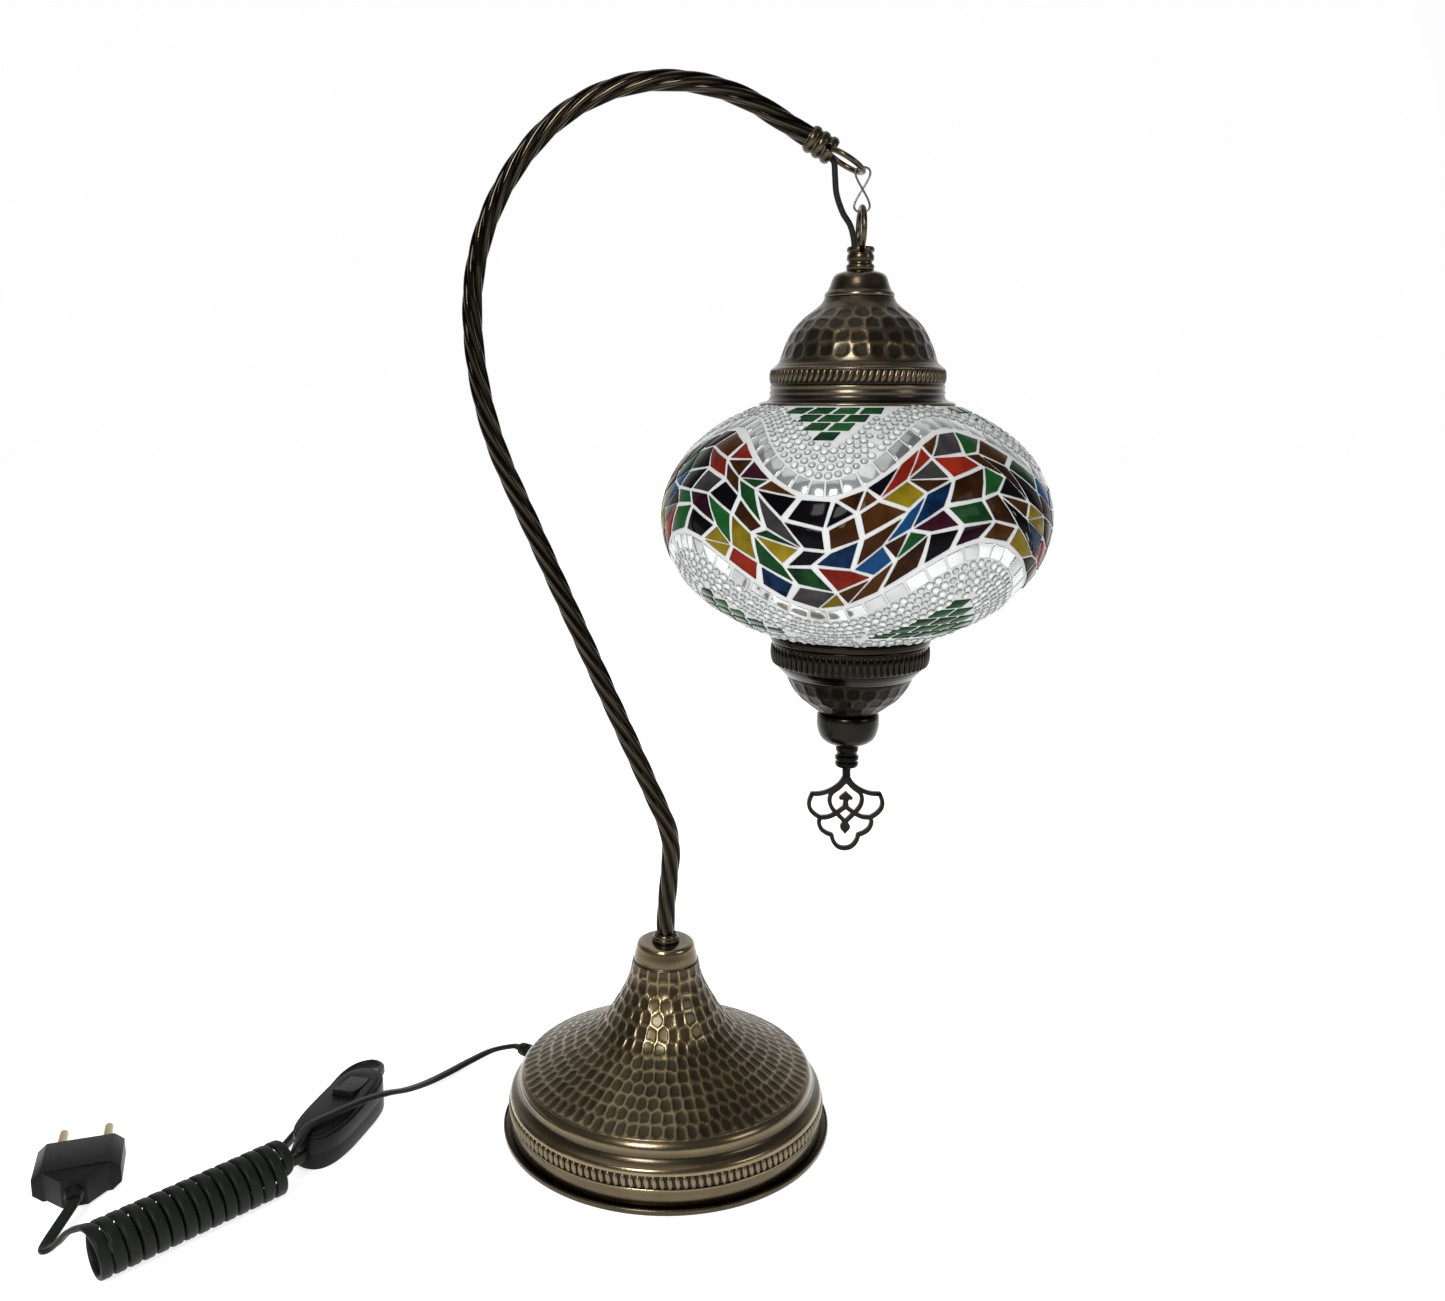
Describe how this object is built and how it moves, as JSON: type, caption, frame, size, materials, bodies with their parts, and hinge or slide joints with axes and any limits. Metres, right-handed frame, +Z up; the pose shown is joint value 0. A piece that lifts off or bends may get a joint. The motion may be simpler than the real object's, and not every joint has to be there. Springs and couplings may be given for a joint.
{
  "type": "mosaic glass table lamp",
  "caption": "Swan-neck table lamp: a wavy mosaic glass globe between embossed brass caps hangs from a twisted tube on a hammered bell base, with a flat cord, rocker switch and plug.",
  "frame": {"origin": "centre of the round base, on the table", "axes": "+Z up; the neck lies in the XZ plane and the shade hangs over +X; -Y is the side that the picture shows"},
  "size_m": [0.4325, 0.2028, 0.459],
  "materials": {
    "aged_brass": "hammered and embossed, dark antique patina worn bright on the high places",
    "dark_brass": "dark antique patina",
    "steel": "plated, satin",
    "iron": "as cast",
    "felt": "pressed felt",
    "cord_plastic": "soft moulded plastic",
    "switch_plastic": "moulded, semi-gloss",
    "holder_plastic": "moulded phenolic",
    "bulb_glass": "frosted",
    "clear_glass": "blown, clear",
    "grout": "white setting paste",
    "glass_red": "cut art glass",
    "glass_black": "cut art glass",
    "glass_green": "cut art glass",
    "glass_blue": "cut art glass",
    "glass_amber": "cut art glass",
    "glass_yellow": "cut art glass",
    "glass_plum": "cut art glass",
    "glass_grey": "cut art glass",
    "mirror": "small cut mirror glass",
    "contact_brass": "plated"
  },
  "bodies": {
    "stand": {"base_bell": "aged_brass", "base_pan": "dark_brass", "felt_pad": "felt", "ballast": "iron", "pan_screws": "steel", "neck_washer": "steel", "neck_nut": "steel", "foot_ferrule": "aged_brass", "strain_relief": "cord_plastic", "swan_neck": "dark_brass", "end_collar": "aged_brass", "tip_ring": "aged_brass", "lead_upper": "cord_plastic", "cord_run": "cord_plastic", "switch_lower": "switch_plastic", "switch_upper": "switch_plastic", "switch_screws": "steel", "cord_hank": "cord_plastic", "plug_body": "switch_plastic", "plug_pins": "contact_brass"},
    "link": {"figure_link": "steel"},
    "shade": {"lead_lower": "cord_plastic", "shade_eye": "aged_brass", "neck_bush": "aged_brass", "top_cap": "aged_brass", "nipple": "steel", "nipple_nut": "steel", "lamp_holder": "holder_plastic", "shade_ring": "holder_plastic", "top_strap": "steel", "bulb_cap": "contact_brass", "bulb_glass": "bulb_glass", "glass_globe": "clear_glass", "grout": "grout", "tiles_red": "glass_red", "tiles_black": "glass_black", "tiles_green": "glass_green", "tiles_blue": "glass_blue", "tiles_amber": "glass_amber", "tiles_yellow": "glass_yellow", "tiles_plum": "glass_plum", "tiles_grey": "glass_grey", "mirror_upper": "mirror", "mirror_lower": "mirror", "leaf_tiles": "glass_green", "bead_rows": "clear_glass", "bottom_cap": "aged_brass", "bottom_strap": "steel", "stud": "steel", "stud_nut": "steel", "drop_knob": "dark_brass", "finial_neck": "aged_brass", "finial": "dark_brass"},
    "rocker": {"switch_rocker": "switch_plastic"}
  },
  "joints": [
    {"name": "link_swing", "type": "hinge", "parent": "stand", "child": "link", "pos_m": [0.07987, 0, 0.42004], "axis": [0, -1, 0], "range_deg": [-10, 25], "deforming": ["lead_upper"]},
    {"name": "shade_swing", "type": "hinge", "parent": "link", "child": "shade", "pos_m": [0.07987, 0, 0.40444], "axis": [1, 0, 0], "range_deg": [-20, 20], "deforming": ["lead_lower"]},
    {"name": "rocker_tilt", "type": "hinge", "parent": "stand", "child": "rocker", "pos_m": [-0.14578, -0.00134, 0.0146], "axis": [0.969, -0.247, 0], "range_deg": [0, 16]}
  ]
}
